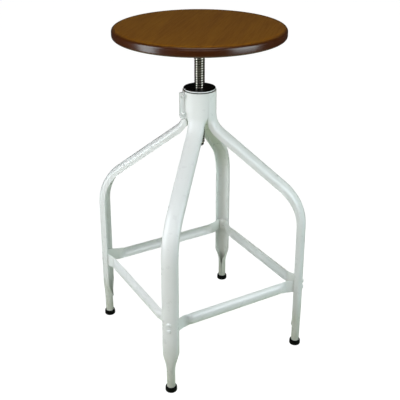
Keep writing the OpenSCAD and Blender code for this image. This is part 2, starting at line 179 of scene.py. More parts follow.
class Shader:
    """A node material around one Principled shader."""

    def __init__(self, name):
        self.material = bpy.data.materials.new(name)
        self.material.use_nodes = True
        self.tree = self.material.node_tree
        self.surface = self.tree.nodes["Principled BSDF"]
        self.place = self.tree.nodes.new("ShaderNodeTexCoord").outputs["Object"]

    def link(self, source, target):
        self.tree.links.new(source, target)

    def set(self, **values):
        for key, value in values.items():
            self.surface.inputs[key.replace("_", " ")].default_value = value

    def stretched(self, scale, turn=0.0, source=None):
        node = self.tree.nodes.new("ShaderNodeMapping")
        node.inputs["Scale"].default_value = scale
        node.inputs["Rotation"].default_value = (0, 0, turn)
        self.link(source or self.place, node.inputs["Vector"])
        return node.outputs["Vector"]

    def noise(self, scale, detail=4.0, rough=0.5, warp=0.0, source=None):
        node = self.tree.nodes.new("ShaderNodeTexNoise")
        node.inputs["Scale"].default_value = scale
        node.inputs["Detail"].default_value = detail
        node.inputs["Roughness"].default_value = rough
        node.inputs["Distortion"].default_value = warp
        self.link(source or self.place, node.inputs["Vector"])
        return node.outputs["Fac"]

    def ramp(self, source, *stops):
        node = self.tree.nodes.new("ShaderNodeValToRGB")
        ramp = node.color_ramp
        while len(ramp.elements) < len(stops):
            ramp.elements.new(0.5)
        for element, (place, colour) in zip(ramp.elements, stops):
            element.position = place
            element.color = colour if hasattr(colour, "__len__") else (colour,) * 3 + (1.0,)
        self.link(source, node.inputs["Fac"])
        return node.outputs["Color"]

    def blend(self, fac, a, b):
        node = self.tree.nodes.new("ShaderNodeMix")
        node.data_type = "RGBA"
        for source, slot in ((fac, 0), (a, 6), (b, 7)):
            if isinstance(source, bpy.types.NodeSocket):
                self.link(source, node.inputs[slot])
            else:
                node.inputs[slot].default_value = source
        return node.outputs[2]

    def math(self, kind, a, b=0.0):
        node = self.tree.nodes.new("ShaderNodeMath")
        node.operation = kind
        for source, slot in ((a, 0), (b, 1)):
            if isinstance(source, bpy.types.NodeSocket):
                self.link(source, node.inputs[slot])
            else:
                node.inputs[slot].default_value = source
        return node.outputs[0]

    def bump(self, height, distance, strength=1.0, after=None):
        node = self.tree.nodes.new("ShaderNodeBump")
        node.inputs["Distance"].default_value = distance
        node.inputs["Strength"].default_value = strength
        self.link(height, node.inputs["Height"])
        if after is not None:
            self.link(after, node.inputs["Normal"])
        return node.outputs["Normal"]

    def colour(self, source):
        self.link(source, self.surface.inputs["Base Color"])

    def roughness(self, source):
        self.link(source, self.surface.inputs["Roughness"])

    def normal(self, source):
        self.link(source, self.surface.inputs["Normal"])


def white_paint():
    """Gloss powder coat: fine orange peel, faint clouding, a few darker specks, and painted shade near the
    floor.
    """
    s = Shader("white_powder_coat")
    cloud = s.noise(9, 3, 0.5)
    tone = s.ramp(cloud, (0.3, srgb(229, 233, 229)), (0.7, srgb(235, 238, 235)))
    speck = s.noise(420, 2, 0.6)
    dirt = s.ramp(speck, (0.70, 0.0), (0.78, 1.0))
    tone = s.blend(s.math("MULTIPLY", dirt, 0.35), tone, srgb(196, 196, 188))
    # Painted shade: the paint turns darker and greener towards the floor, in patches, for the light falling
    # off there
    split = s.tree.nodes.new("ShaderNodeSeparateXYZ")
    s.link(s.place, split.inputs[0])
    height = s.math("DIVIDE", s.math("SUBTRACT", split.outputs[2], FLOOR_SHADE_LOW_Z * MM), FLOOR_SHADE_RUN * MM)
    patchy = s.math("ADD", height, s.math("MULTIPLY", s.math("SUBTRACT", s.noise(35, 4, 0.6), 0.5), 0.3))
    s.colour(s.blend(s.ramp(patchy, (0.0, 0.55), (1.0, 0.0)), tone, srgb(166, 170, 142)))
    s.roughness(s.ramp(s.noise(60, 3, 0.6), (0.3, 0.26), (0.7, 0.34)))
    peel = s.bump(s.noise(640, 2, 0.45), 0.00006, 0.4)
    s.normal(s.bump(s.noise(70, 1, 0.5), 0.0001, 0.2, after=peel))
    s.set(IOR=1.52, Coat_Weight=0.3, Coat_Roughness=0.18)
    return s.material


def radius_from_axis(s):
    """Distance of a point from the spindle's axis, in metres."""
    split = s.tree.nodes.new("ShaderNodeSeparateXYZ")
    s.link(s.place, split.inputs[0])
    x, y = split.outputs[0], split.outputs[1]
    return s.math("SQRT", s.math("ADD", s.math("MULTIPLY", x, x), s.math("MULTIPLY", y, y)))


def stained_wood():
    """Brown stained hardwood under satin varnish, its grain running across the seat."""
    s = Shader("stained_wood")
    turn = math.radians(GRAIN_AZIMUTH)
    warp = s.noise(3.2, 2, 0.5)
    along = s.stretched((1, 1, 1), turn)
    fibre_space = s.stretched((3.5, 75, 30), 0, along)
    fibre = s.noise(4.0, 6, 0.62, 0.25, fibre_space)
    figure_space = s.stretched((1.6, 11, 6), 0, along)
    figure = s.noise(3.0, 4, 0.55, 0.9, figure_space)
    pore_space = s.stretched((28, 520, 300), 0, along)
    pore = s.noise(3.0, 2, 0.5, 0, pore_space)
    base = s.ramp(figure, (0.25, srgb(140, 84, 10)), (0.5, srgb(157, 100, 14)), (0.78, srgb(170, 113, 22)))
    lines = s.ramp(fibre, (0.32, srgb(116, 66, 8)), (0.5, srgb(155, 99, 14)), (0.7, srgb(172, 115, 24)))
    wood = s.blend(0.4, base, lines)
    pores = s.ramp(pore, (0.60, 0.0), (0.70, 1.0))
    wood = s.blend(s.math("MULTIPLY", pores, 0.35), wood, srgb(78, 42, 10))
    wood = s.blend(s.ramp(warp, (0.35, 0.0), (0.7, 0.16)), wood, srgb(116, 64, 14))
    # The turned edge is painted darker than the flat faces: a darker stain, and painted shade of the seat's
    # side
    rim = s.math("DIVIDE", s.math("SUBTRACT", radius_from_axis(s), (SEAT_R - RIM_W) * MM), RIM_BLEND_W * MM)
    s.colour(s.blend(s.ramp(rim, (0.0, 0.0), (1.0, 1.0)), wood, s.blend(0.92, wood, srgb(46, 8, 1))))
    s.roughness(s.ramp(fibre, (0.3, 0.36), (0.7, 0.28)))
    grain = s.bump(fibre, 0.00004, 0.25)
    s.normal(s.bump(s.math("SUBTRACT", 1.0, pores), 0.00005, 0.2, after=grain))
    s.set(IOR=1.46, Specular_IOR_Level=0.2, Coat_Weight=0.9, Coat_Roughness=0.24)
    return s.material


def spindle_steel():
    """Oiled screw: nearly black in the root of the thread, worn bright along its crest."""
    s = Shader("spindle_steel")
    root = (SPINDLE_R - THREAD_DEPTH) * MM
    share = s.math("DIVIDE", s.math("SUBTRACT", radius_from_axis(s), root), THREAD_DEPTH * MM)
    wear = s.math("ADD", share, s.math("MULTIPLY", s.math("SUBTRACT", s.noise(260, 4, 0.6), 0.5), 0.5))
    bright = s.ramp(wear, (0.66, 0.0), (0.92, 1.0))
    s.colour(s.blend(bright, srgb(14, 12, 10), srgb(206, 198, 188)))
    s.roughness(s.blend(bright, (0.38,) * 3 + (1.0,), (0.1,) * 3 + (1.0,)))
    s.normal(s.bump(s.noise(900, 3, 0.6), 0.00005, 0.3))
    s.set(Metallic=1.0)
    return s.material


def dark_steel():
    """Blackened plate steel with mill marks."""
    s = Shader("dark_steel")
    patch = s.noise(34, 5, 0.6, 0.3)
    s.colour(s.ramp(patch, (0.3, srgb(48, 46, 44)), (0.7, srgb(78, 76, 73))))
    brushed = s.noise(6, 3, 0.6, 0, s.stretched((420, 12, 420)))
    s.roughness(s.ramp(brushed, (0.3, 0.34), (0.7, 0.5)))
    s.normal(s.bump(brushed, 0.00004, 0.3))
    s.set(Metallic=0.85)
    return s.material


def zinc():
    """Passivated zinc with a faint crystal pattern."""
    s = Shader("zinc_plate")
    grain = s.noise(300, 4, 0.6)
    s.colour(s.ramp(grain, (0.3, srgb(150, 154, 156)), (0.7, srgb(186, 190, 192))))
    s.roughness(s.ramp(s.noise(120, 3, 0.6), (0.3, 0.24), (0.7, 0.38)))
    s.normal(s.bump(grain, 0.00004, 0.25))
    s.set(Metallic=1.0)
    return s.material


def black_plastic():
    """Satin moulded plastic with a fine spark-eroded texture."""
    s = Shader("black_plastic")
    grain = s.noise(1500, 3, 0.6)
    s.colour(s.ramp(s.noise(40, 4, 0.6), (0.3, srgb(3, 4, 2)), (0.75, srgb(10, 10, 8))))
    s.roughness(s.ramp(s.noise(70, 3, 0.5), (0.3, 0.24), (0.7, 0.33)))
    s.normal(s.bump(grain, 0.00005, 0.35))
    s.set(IOR=1.25, Specular_IOR_Level=0.2)
    return s.material


def black_rubber():
    """Matt rubber with patches of dust."""
    s = Shader("black_rubber")
    dust = s.noise(55, 5, 0.65)
    s.colour(s.ramp(dust, (0.35, srgb(3, 4, 3)), (0.8, srgb(16, 17, 15))))
    s.roughness(s.ramp(dust, (0.3, 0.3), (0.8, 0.5)))
    s.normal(s.bump(s.noise(1100, 3, 0.6), 0.00007, 0.4))
    s.set(IOR=1.3, Specular_IOR_Level=0.2)
    return s.material


MATERIALS = {
    "white_paint": white_paint(),
    "stained_wood": stained_wood(),
    "spindle_steel": spindle_steel(),
    "dark_steel": dark_steel(),
    "zinc": zinc(),
    "black_plastic": black_plastic(),
    "black_rubber": black_rubber(),
}


# ---------------------------------------------------------------- mesh building

def piece(name, parts, slot, body, nodes, bevel=0.0, sharp=40):
    """One object from several (points in mm, faces) pairs, riding on a body in place of CAD nodes."""
    verts, faces = [], []
    for points, part_faces in parts:
        start = len(verts)
        verts += [tuple(c * MM for c in p) for p in points]
        faces += [tuple(start + i for i in f) for f in part_faces]
    mesh = bpy.data.meshes.new(name)
    mesh.from_pydata(verts, [], faces)
    work = bmesh.new()
    work.from_mesh(mesh)
    bmesh.ops.remove_doubles(work, verts=work.verts, dist=1e-7)
    bmesh.ops.recalc_face_normals(work, faces=work.faces)
    work.to_mesh(mesh)
    work.free()
    mesh.shade_smooth()
    mesh.set_sharp_from_angle(angle=math.radians(sharp))
    obj = bpy.data.objects.new(name, mesh)
    bpy.context.scene.collection.objects.link(obj)
    mesh.materials.append(MATERIALS[slot])
    if bevel:
        rounding = obj.modifiers.new("edge_rounding", "BEVEL")
        rounding.width = bevel * MM
        rounding.segments = 3
        rounding.limit_method = "ANGLE"
        rounding.angle_limit = math.radians(55)
    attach(obj, body)
    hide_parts(*nodes)
    return obj


def circle(radius, z, count):
    """Points round a circle about Z."""
    return [(radius * math.cos(2 * math.pi * k / count), radius * math.sin(2 * math.pi * k / count), z)
            for k in range(count)]


def bands(rows, count, start=0):
    """Faces between neighbouring rows, each of them a closed ring of count points."""
    faces = []
    for k in range(rows - 1):
        low, high = start + k * count, start + (k + 1) * count
        for i in range(count):
            j = (i + 1) % count
            faces.append((low + i, low + j, high + j, high + i))
    return faces


def lathe(profile, segments=96):
    """Closed solid turned about Z from (radius, height) points: a loop, or a line from axis to axis."""
    loop = profile[0][0] > 1e-6
    points, rows = [], []
    for r, z in profile:
        if r <= 1e-6:
            rows.append([len(points)] * segments)
            points.append((0.0, 0.0, z))
        else:
            rows.append(list(range(len(points), len(points) + segments)))
            points += circle(r, z, segments)
    faces = []
    pairs = list(zip(rows, rows[1:])) + ([(rows[-1], rows[0])] if loop else [])
    for low, high in pairs:
        for k in range(segments):
            n = (k + 1) % segments
            corners = []
            for index in (low[k], low[n], high[n], high[k]):
                if index not in corners:
                    corners.append(index)
            if len(corners) > 2:
                faces.append(tuple(corners))
    return points, faces


def rounded(corners, radius, steps=5):
    """A profile whose inner corners are rounded; the first and last points stay."""
    out = [corners[0]]
    for before, here, after in zip(corners, corners[1:], corners[2:]):
        p, h, n = (np.array(q, float) for q in (before, here, after))
        cut = min(radius, np.linalg.norm(p - h) * 0.45, np.linalg.norm(n - h) * 0.45)
        start = h + (p - h) / np.linalg.norm(p - h) * cut
        end = h + (n - h) / np.linalg.norm(n - h) * cut
        for k in range(steps + 1):
            t = k / steps
            out.append(tuple((1 - t) ** 2 * start + 2 * t * (1 - t) * h + t * t * end))
    return out + [corners[-1]]


def moved(part, matrix):
    points, faces = part
    return [tuple(matrix @ Vector(p)) for p in points], faces


def turned(azimuth):
    return Matrix.Rotation(math.radians(azimuth), 4, "Z")


def skin(rings):
    """Faces over rings of equal length, with strips across the sheet at both ends."""
    n = len(rings[0])
    m = n // 2
    points = [tuple(p) for ring in rings for p in ring]
    faces = bands(len(rings), n)
    last = (len(rings) - 1) * n
    for i in range(m - 1):
        faces.append((i, n - 1 - i, n - 2 - i, i + 1))
        faces.append((last + i, last + i + 1, last + n - 2 - i, last + n - 1 - i))
    return points, faces


# ---------------------------------------------------------------- legs

BEND = 90 - SLOPE


def polar_step(radius, angle):
    a = math.radians(angle)
    return radius * (1 - math.cos(a)), radius * math.sin(a)


out, down = polar_step(SHOULDER_R, BEND)
SHOULDER_END = (COLLAR_R + out, COLLAR_LOW_Z - down)
out, down = polar_step(KNEE_R, BEND)
KNEE_START_R = KNEE_REACH - out
SLOPE_RUN = (KNEE_START_R - SHOULDER_END[0]) / math.cos(math.radians(SLOPE))
KNEE_START_Z = SHOULDER_END[1] - SLOPE_RUN * math.sin(math.radians(SLOPE))
KNEE_MID_Z = KNEE_START_Z - down
out, down = polar_step(KNEE_R, LEAN)
KNEE_END = (KNEE_REACH - out, KNEE_MID_Z + down)


def lower_r(z):
    return KNEE_END[0] + (KNEE_END[1] - z) * math.tan(math.radians(LEAN))


SHOULDER_ARC = SHOULDER_R * math.radians(BEND)
SHAPE_RUN = 18


def leg_stations():
    """Points down a leg: radius, height, tilt, shares of collar shape, tube shape and swollen lips."""
    stations = [(COLLAR_R, mix(COLLAR_TOP_Z, COLLAR_LOW_Z, i / 24), 0, 1, 0, 0) for i in range(25)]
    for i in range(1, 37):
        a = BEND * i / 36
        out, down = polar_step(SHOULDER_R, a)
        share = 1 - ease(SHOULDER_R * math.radians(a) / SHAPE_RUN)
        stations.append((COLLAR_R + out, COLLAR_LOW_Z - down, a, share, 0, 0))
    for i in range(1, 22):
        t = i / 22
        share = 1 - ease((SHOULDER_ARC + t * SLOPE_RUN) / SHAPE_RUN)
        stations.append((mix(SHOULDER_END[0], KNEE_START_R, t), mix(SHOULDER_END[1], KNEE_START_Z, t),
                         BEND, share, 0, 0))
    for i in range(45):
        a = mix(BEND, LEAN, i / 44)
        out, down = polar_step(KNEE_R, a)
        stations.append((KNEE_REACH - out, KNEE_MID_Z + down, a, 0, 0, 0))
    for i in range(1, 16):
        z = mix(KNEE_END[1], TAPER_TOP_Z + 6, i / 16)
        stations.append((lower_r(z), z, LEAN, 0, 0, 0))
    for i in range(25):
        t = i / 24
        stations.append((lower_r(TAPER_TOP_Z), mix(TAPER_TOP_Z, TAPER_LOW_Z, t), 0, 0, ease(t), t * t))
    for i in range(1, 6):
        z = mix(TAPER_LOW_Z, TAPER_LOW_Z - SWELL_END, i / 5)
        stations.append((lower_r(TAPER_TOP_Z), z, 0, 0, 1, 1 - ease(i / 5)))
    for i in range(1, 9):
        z = mix(TAPER_LOW_Z - SWELL_END, FOOT_BASE + GAP, i / 8)
        stations.append((lower_r(TAPER_TOP_Z), z, 0, 0, 1, 0))
    return stations


CROWN_LEN = math.pi / 2 * math.sqrt((CHANNEL_W ** 2 + CROWN_H ** 2) / 2)
CHANNEL_LEN = CROWN_LEN + WALL_H


def channel_pt(u):
    run = abs(u) * CHANNEL_LEN
    side = -1 if u < 0 else 1
    a = math.radians(90 * min(1, run / CROWN_LEN))
    return np.array((side * CHANNEL_W * math.sin(a), CROWN_H * (1 - math.cos(a)) + max(0, run - CROWN_LEN)))


def arc_pt(radius, angle):
    a = math.radians(angle)
    return np.array((radius * math.sin(a), radius * (1 - math.cos(a))))


def section_line(first, last, collar, tube, swell, steps=48):
    """Outer line of the leg's sheet as (across, depth) points."""
    line = []
    close = mix(TUBE_CLOSE, LIP_CLOSE, swell)
    for i in range(steps + 1):
        u = 2 * i / steps - 1
        p = mix(channel_pt(u), arc_pt(COLLAR_R, mix(first, last, (u + 1) / 2)), collar)
        rolled = arc_pt(FOOT_TUBE_R, close * u) + np.array((0, LIP_SWELL * swell * u ** 4))
        line.append(mix(p, rolled, tube))
    return line


def inner_line(line, sheet):
    """The line moved inwards by the sheet's thickness."""
    moved_line = []
    for i, p in enumerate(line):
        d = line[min(i + 1, len(line) - 1)] - line[max(i - 1, 0)]
        d = d / np.linalg.norm(d)
        moved_line.append(p + np.array((-d[1], d[0])) * sheet)
    return moved_line


def ring_on(station, azimuth, line, sheet):
    """A closed ring of the sheet's section, placed at a station of the leg at an azimuth."""
    r, z, tilt = station[:3]
    c, s = math.cos(math.radians(tilt)), math.sin(math.radians(tilt))
    place = turned(azimuth)
    return [place @ Vector((r - p[1] * c, p[0], z - p[1] * s)) for p in line + inner_line(line, sheet)[::-1]]


EAR_R = COLLAR_R - LEG_SHEET / 2
EAR_START = math.degrees(math.asin((EAR_BEND_R + EAR_SPLIT + LEG_SHEET / 2) / (EAR_R + EAR_BEND_R)))


def ear_reach(z):
    """How far the ear reaches at a height, its lower outer corner being round."""
    up = z - EAR_LOW_Z - EAR_CORNER
    if up >= 0:
        return EAR_REACH
    return EAR_REACH - EAR_CORNER + math.sqrt(max(0.0, EAR_CORNER ** 2 - up ** 2))


def ear_points(reach):
    """Outer and inner line of the rear left leg's ear in plan, from the collar out."""
    centre = (EAR_R + EAR_BEND_R) * np.array((-math.cos(math.radians(EAR_START)),
                                              math.sin(math.radians(EAR_START))))
    outer, inner = [], []
    half = LEG_SHEET / 2
    for i in range(1, 11):
        a = math.radians(mix(-EAR_START, -90, i / 10))
        d = np.array((math.cos(a), math.sin(a)))
        outer.append(centre + (EAR_BEND_R - half) * d)
        inner.append(centre + (EAR_BEND_R + half) * d)
    y = centre[1] - EAR_BEND_R
    for i in range(1, 9):
        x = mix(centre[0], -reach, i / 8)
        outer.append(np.array((x, y + half)))
        inner.append(np.array((x, y - half)))
    return outer, inner


def leg_with_ear(mirrored):
    """The rear left leg, whose collar edge runs on into a clamp ear, or its mirror image, the front left."""
    upper, lower = [], []
    for station in leg_stations():
        line = section_line(-45 + SEAM_GAP, 45 - EAR_START, *station[3:])
        ring = ring_on(station, LEG_AZIMUTHS["rear_left"], line, LEG_SHEET)
        half = len(ring) // 2
        edge_out, edge_in = ring[half - 1], ring[half]
        if edge_out.z > EAR_LOW_Z + 0.4 and not lower:
            outer, inner = ear_points(ear_reach(edge_out.z))
            tip_out = [Vector((p[0], p[1], edge_out.z)) for p in outer]
            tip_in = [Vector((p[0], p[1], edge_in.z)) for p in inner]
            upper.append(ring[:half] + tip_out + tip_in[::-1] + ring[half:])
        else:
            lower.append(ring)
    n, m, half = len(upper[0]), len(lower[0]), len(lower[0]) // 2
    extra = (n - m) // 2
    points = [p for ring in upper + lower for p in ring]
    faces = bands(len(upper), n)
    # The ear's underside, then the step from the eared rings to the plain ones
    foot = (len(upper) - 1) * n
    for i in range(half - 1, half - 1 + extra):
        faces.append((foot + i, foot + i + 1, foot + n - 2 - i, foot + n - 1 - i))
    start = len(upper) * n
    for i in range(m):
        j = (i + 1) % m
        a = foot + (i if i < half else i + 2 * extra)
        b = foot + (j if j < half else j + 2 * extra)
        faces.append((a, b, start + j, start + i))
    faces += bands(len(lower), m, start)
    last = start + (len(lower) - 1) * m
    for base, count in ((0, n), (last, m)):
        for i in range(count // 2 - 1):
            faces.append((base + i, base + i + 1, base + count - 2 - i, base + count - 1 - i))
    if mirrored:
        points = [Vector((p.x, -p.y, p.z)) for p in points]
    return [tuple(p) for p in points], faces


def plain_leg(azimuth):
    rings = []
    for station in leg_stations():
        line = section_line(-45 + SEAM_GAP, 45 - SEAM_GAP, *station[3:])
        rings.append(ring_on(station, azimuth, line, LEG_SHEET))
    return skin(rings)


for side, azimuth in LEG_AZIMUTHS.items():
    if side.endswith("left"):
        shape = leg_with_ear(mirrored=(side == "front_left"))
    else:
        shape = plain_leg(azimuth)
    piece(f"leg_shell_{side}", [shape], "white_paint", "base", [f"leg_{side}"], bevel=0.5)


# ---------------------------------------------------------------- stretchers

JOINT_RIDGE = lower_r(RAIL_Z)
MOUTH_R = JOINT_RIDGE - CROWN_H - WALL_H
TAB_SIDE = CHANNEL_W - LEG_SHEET - 0.6


def at_leg(r, side):
    return np.array(((r + side) / math.sqrt(2), (r - side) / math.sqrt(2)))


def half_rail(depth):
    """Stations from a stretcher's middle to its end, which lies at a depth below the leg's crown.

    Each holds the distance along, the distance out, the heading and the flatness.
    """
    turn = math.radians(TAB_TURN)
    mouth = at_leg(MOUTH_R, -TAB_SIDE)
    direction = np.array((math.cos(turn), math.sin(turn)))
    first = mouth - direction * (mouth[1] - RAIL_Y) / math.sin(turn)
    seat_r = JOINT_RIDGE - depth
    second = mouth + direction * (seat_r - MOUTH_R) * math.sqrt(2) / (math.cos(turn) + math.sin(turn))
    last_turn = TAB_TURN + 45
    bend_cut = TAB_BEND_R * math.tan(turn / 2)
    hook_cut = TAB_HOOK_R * math.tan(math.radians(last_turn) / 2)
    bend_centre = (first[0] - bend_cut, RAIL_Y + TAB_BEND_R)
    tangent = second - direction * hook_cut
    hook_centre = tangent + TAB_HOOK_R * np.array((math.sin(turn), -math.cos(turn)))
    fade = first[0] - FLATTEN_RUN
    stations = [(mix(0, fade, i / 12), RAIL_Y, 0, 0) for i in range(13)]
    for i in range(1, 19):
        stations.append((mix(fade, first[0] - bend_cut, i / 18), RAIL_Y, 0, ease(i / 18)))
    for i in range(1, 9):
        a = math.radians(TAB_TURN * i / 8)
        stations.append((bend_centre[0] + TAB_BEND_R * math.sin(a), bend_centre[1] - TAB_BEND_R * math.cos(a),
                         TAB_TURN * i / 8, 1))
    for i in range(13):
        angle = TAB_TURN - last_turn * i / 12
        a = math.radians(angle)
        stations.append((hook_centre[0] - TAB_HOOK_R * math.sin(a), hook_centre[1] + TAB_HOOK_R * math.cos(a),
                         angle, 1))
    end = at_leg(seat_r, TAB_REACH)
    stations.append((end[0], end[1], -45, 1))
    return stations


def rail_line(flat, steps=32):
    line = []
    for i in range(steps + 1):
        u = 2 * i / steps - 1
        up = mix(RAIL_H / 2 * math.sin(math.radians(90 * u)), RAIL_END_H / 2 * u, flat)
        line.append(np.array((up, (1 - flat) * (LIP_DROP - RAIL_DEPTH * math.cos(math.radians(90 * u))))))
    return line


def rail_ring(station, side, place):
    along, away, heading, flat = station
    a = math.radians(heading) * side
    line = rail_line(flat)
    return [place @ Vector((side * along + p[1] * math.sin(a), -away + p[1] * math.cos(a), RAIL_Z + p[0]))
            for p in line + inner_line(line, RAIL_SHEET)[::-1]]


RAILS = {"front": (0, TAB_DEPTHS[0], TAB_DEPTHS[1]), "right": (90, TAB_DEPTHS[0], TAB_DEPTHS[1]),
         "rear": (180, TAB_DEPTHS[0], TAB_DEPTHS[0]), "left": (270, TAB_DEPTHS[1], TAB_DEPTHS[1])}
for name, (azimuth, first, second) in RAILS.items():
    place = turned(azimuth)
    rings = [rail_ring(st, -1, place) for st in half_rail(first)[:0:-1]]
    rings += [rail_ring(st, 1, place) for st in half_rail(second)]
    piece(f"stretcher_rail_{name}", [skin(rings)], "white_paint", "base", [f"stretcher_{name}"], bevel=0.4)


# ---------------------------------------------------------------- rivets, bolts and feet

def along_x(x, y, z):
    """Turns a lathe's axis from +Z to +X and moves it to a point."""
    return Matrix.Translation((x, y, z)) @ Matrix.Rotation(math.radians(90), 4, "Y")


def rivet():
    cap = [(RIVET_HEAD_R * math.cos(math.radians(a)), RIVET_RIM_H + RIVET_DOME_H * math.sin(math.radians(a)))
           for a in range(0, 90, 9)]
    shank = [(0, -RIVET_SHANK_LEN), (RIVET_SHANK_R, -RIVET_SHANK_LEN), (RIVET_SHANK_R, 0.0),
             (RIVET_HEAD_R, 0.0)]
    return lathe(shank + cap + [(0, RIVET_RIM_H + RIVET_DOME_H)], 48)


def rivet_tail():
    cap = [(RIVET_TAIL_R * math.cos(math.radians(a)),
            -RIVET_TAIL_RIM_H - RIVET_TAIL_DOME_H * math.sin(math.radians(a))) for a in range(0, 90, 9)]
    return lathe([(0, 0.0), (RIVET_TAIL_R, 0.0)] + cap + [(0, -RIVET_TAIL_RIM_H - RIVET_TAIL_DOME_H)], 40)


for side, azimuth in LEG_AZIMUTHS.items():
    parts = []
    for z in (RIVET_MID_Z + RIVET_GAP / 2, RIVET_MID_Z - RIVET_GAP / 2):
        head = along_x(lower_r(z) - 0.2, 0, z)
        tail = along_x(JOINT_RIDGE - TAB_DEPTHS[1] - RAIL_SHEET - GAP, 0, z)
        parts.append(moved(rivet(), turned(azimuth) @ head))
        parts.append(moved(rivet_tail(), turned(azimuth) @ tail))
    piece(f"rivet_heads_{side}", parts, "white_paint", "base", [f"rivets_{side}"])

EAR_FACE = EAR_SPLIT + LEG_SHEET


def hexagon_reach(radius, angle):
    """Distance from a hexagon's centre to its edge at an angle, its corners being at the radius."""
    return radius * math.cos(math.pi / 6) / math.cos((angle % (math.pi / 3)) - math.pi / 6)


def hex_socket_bolt(length, head_r=3.2, head_h=5.0, socket_r=1.8, shank_r=2.0):
    """Bolt along +Z, its head below z = 0 with a hexagon socket."""
    outer = rounded([(0, length), (shank_r, length), (shank_r, 0), (head_r, 0), (head_r, -head_h),
                     (socket_r + 0.4, -head_h)], 0.5, 4)
    ring = 48
    points, faces = lathe_open(outer, ring)
    rim = len(points) - ring
    floor_z = -head_h / 2
    start = len(points)
    for z in (-head_h, floor_z):
        for k in range(ring):
            a = 2 * math.pi * k / ring
            reach = hexagon_reach(socket_r, a)
            points.append((reach * math.cos(a), reach * math.sin(a), z))
    points.append((0, 0, floor_z))
    for k in range(ring):
        n = (k + 1) % ring
        faces.append((rim + k, rim + n, start + n, start + k))
        faces.append((start + k, start + n, start + ring + n, start + ring + k))
        faces.append((start + ring + k, start + ring + n, len(points) - 1))
    return points, faces


def lathe_open(profile, segments):
    """Turned surface that starts on the axis and ends in an open ring, the last row of points."""
    points = [(0.0, 0.0, profile[0][1])]
    faces = []
    before = None
    for r, z in profile[1:]:
        row = list(range(len(points), len(points) + segments))
        points += circle(r, z, segments)
        for k in range(segments):
            n = (k + 1) % segments
            faces.append((0, row[k], row[n]) if before is None else (before[k], before[n], row[n], row[k]))
        before = row
    return points, faces


def hex_nut(radius, bore, height):
    """Hexagon nut along +Z. Its corners are cut to a share of the radius at both faces."""
    ring = 72
    cut, cut_h = 0.93, 0.6
    rows = []
    points, faces = [], []
    for reach, z in ((bore, 0), (cut, 0), (1.0, cut_h), (1.0, height - cut_h), (cut, height), (bore, height)):
        rows.append(len(points))
        for k in range(ring):
            a = 2 * math.pi * k / ring
            flat = hexagon_reach(radius, a)
            r = reach if reach == bore else min(flat, radius * cut) if reach < 1 else flat
            points.append((r * math.cos(a), r * math.sin(a), z))
    for low, high in zip(rows, rows[1:] + rows[:1]):
        for k in range(ring):
            n = (k + 1) % ring
            faces.append((low + k, low + n, high + n, high + k))
    return points, faces


bolts, washers, nuts = [], [], []
for z in BOLT_HEIGHTS:
    to_rear = Matrix.Rotation(math.radians(-90), 4, "X")
    head = Matrix.Translation((-BOLT_REACH, -EAR_FACE - WASHER_T - 2 * GAP, z)) @ to_rear
    tail = Matrix.Translation((-BOLT_REACH, EAR_FACE + WASHER_T + 2 * GAP, z)) @ to_rear
    bolts.append(moved(hex_socket_bolt(2 * EAR_FACE + 2 * WASHER_T + BOLT_TAIL), head))
    nuts.append(moved(hex_nut(NUT_R, NUT_BORE_R, NUT_H), tail))
    flat_ring = [(WASHER_BORE_R, 0), (WASHER_R, 0), (WASHER_R, WASHER_T), (WASHER_BORE_R, WASHER_T)]
    ring = lathe(rounded(flat_ring, 0.25, 3), 48)
    washers.append(moved(ring, Matrix.Translation((-BOLT_REACH, -EAR_FACE - GAP - WASHER_T, z)) @ to_rear))
    washers.append(moved(ring, Matrix.Translation((-BOLT_REACH, EAR_FACE + GAP, z)) @ to_rear))
piece("clamp_screws", bolts, "white_paint", "base", ["clamp_bolts"])
piece("clamp_rings", washers, "white_paint", "base", ["clamp_washers"])
piece("clamp_hex_nuts", nuts, "white_paint", "base", ["clamp_nuts"])

for side, azimuth in LEG_AZIMUTHS.items():
    bore = FOOT_TUBE_R + 0.1
    cup = [(0, 0), (FOOT_R - 2.2, 0), (FOOT_R - 0.6, 0.5), (FOOT_R, 1.8), (FOOT_R - 0.2, FOOT_H - 4),
           (FOOT_R - 0.7, FOOT_H - 1.4), (FOOT_R - 1.9, FOOT_H), (bore, FOOT_H), (bore, FOOT_BASE),
           (0, FOOT_BASE)]
    shape = moved(lathe(rounded(cup, 0.9, 4), 96), turned(azimuth) @ Matrix.Translation((FOOT_REACH, 0, 0)))
    piece(f"foot_cap_{side}", [shape], "black_rubber", "base", [f"foot_{side}"], sharp=55)


# ---------------------------------------------------------------- collar, cap and spindle

# The tube is dark steel; its wall shows as the dark line under the mouth ring and dark in the collar's gaps
tube = rounded([(TUBE_R - 2.5, TUBE_LOW_Z + 5), (TUBE_R - 2.5, TUBE_LOW_Z), (TUBE_R, TUBE_LOW_Z),
                (TUBE_R, TUBE_TOP_Z), (TUBE_R - 2.5, TUBE_TOP_Z), (TUBE_R - 2.5, TUBE_TOP_Z - 5)], 0.6, 4)
piece("collar_tube", [lathe(tube, 160)], "dark_steel", "base", ["nut_tube"])

mouth = rounded([(TUBE_R - 2.5, MOUTH_LOW_Z), (TUBE_R, MOUTH_LOW_Z), (TUBE_R, MOUTH_TOP_Z),
                 (TUBE_R - 2.5, MOUTH_TOP_Z)], 0.5, 4)
piece("collar_mouth", [lathe(mouth, 160)], "white_paint", "base", ["collar_ring"])

